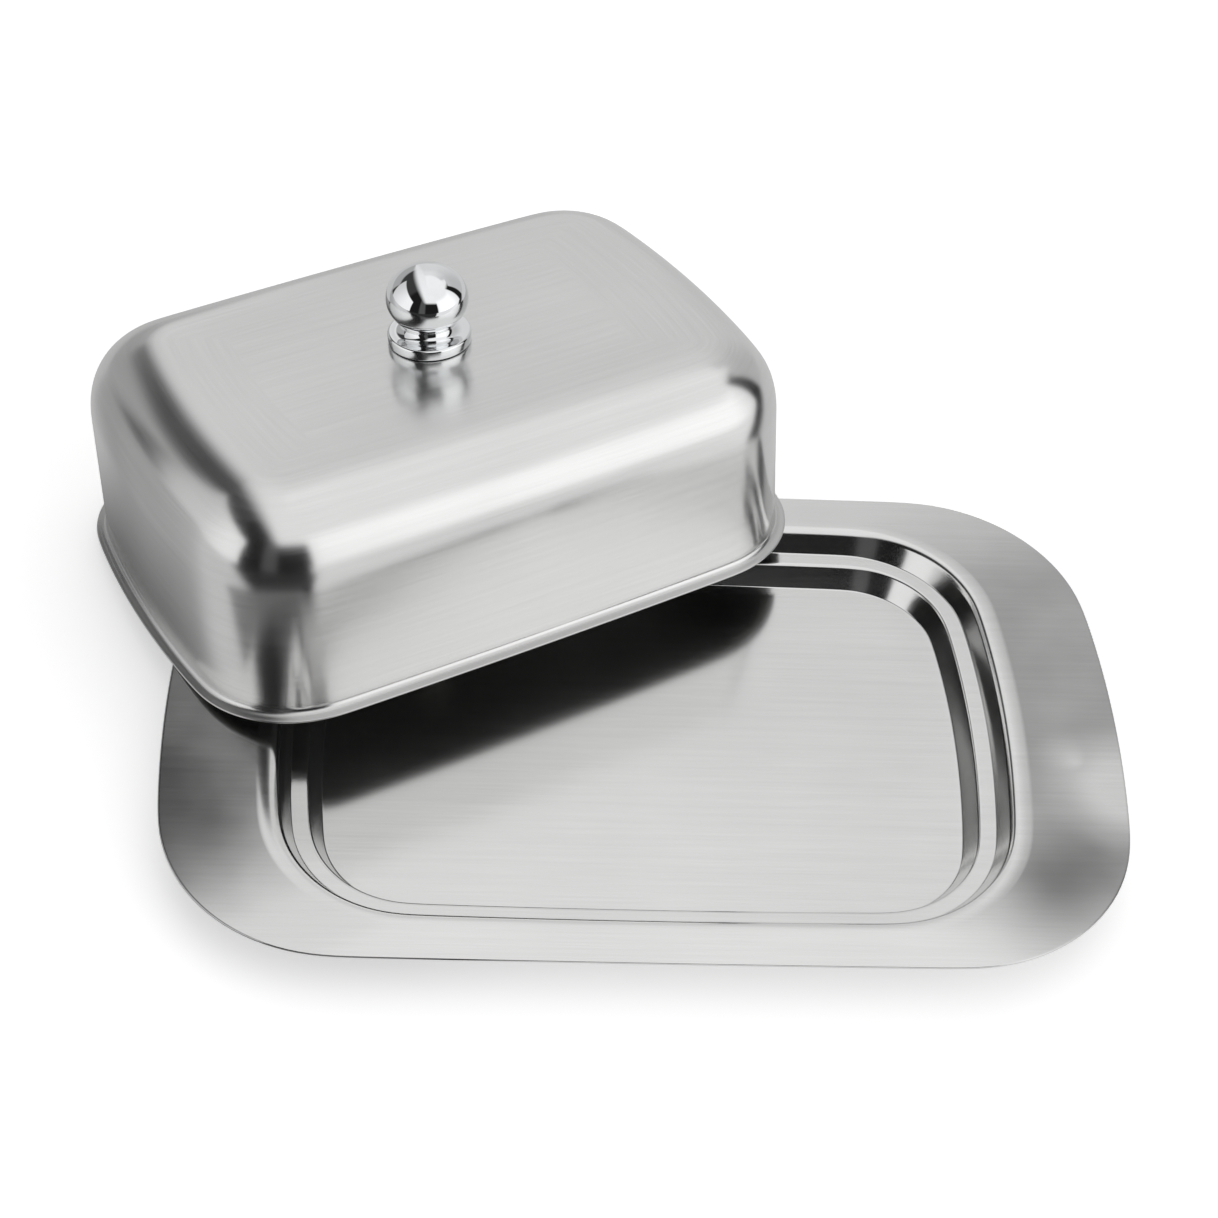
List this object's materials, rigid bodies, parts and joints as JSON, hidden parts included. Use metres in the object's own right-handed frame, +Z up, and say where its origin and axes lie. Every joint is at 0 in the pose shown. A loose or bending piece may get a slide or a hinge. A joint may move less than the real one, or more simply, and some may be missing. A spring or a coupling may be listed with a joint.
{
  "type": "butter dish",
  "caption": "Shallow stepped serving tray with a wide rim, and a loose domed cover with a turned knob that lifts off to reach the butter.",
  "frame": {"origin": "middle of the tray's flat underside, on the table", "axes": "+X along the tray's long side, +Y across it towards the side where the cover is set aside, +Z up"},
  "size_m": [0.2165, 0.1892, 0.0705],
  "materials": {
    "brushed_steel": "satin brushed stainless steel with polished bends",
    "chrome": "mirror-bright chrome plating",
    "plain_steel": "plain bright steel fasteners"
  },
  "bodies": {
    "tray": {"tray": "brushed_steel"},
    "cover": {"cover_dome": "brushed_steel", "knob": "chrome", "knob_washer": "plain_steel", "knob_screw": "plain_steel"}
  },
  "joints": [
    {"name": "cover_lift", "type": "slide", "parent": "tray", "child": "cover", "axis": [0, 0, 1], "range_m": [0, 0.1]}
  ]
}
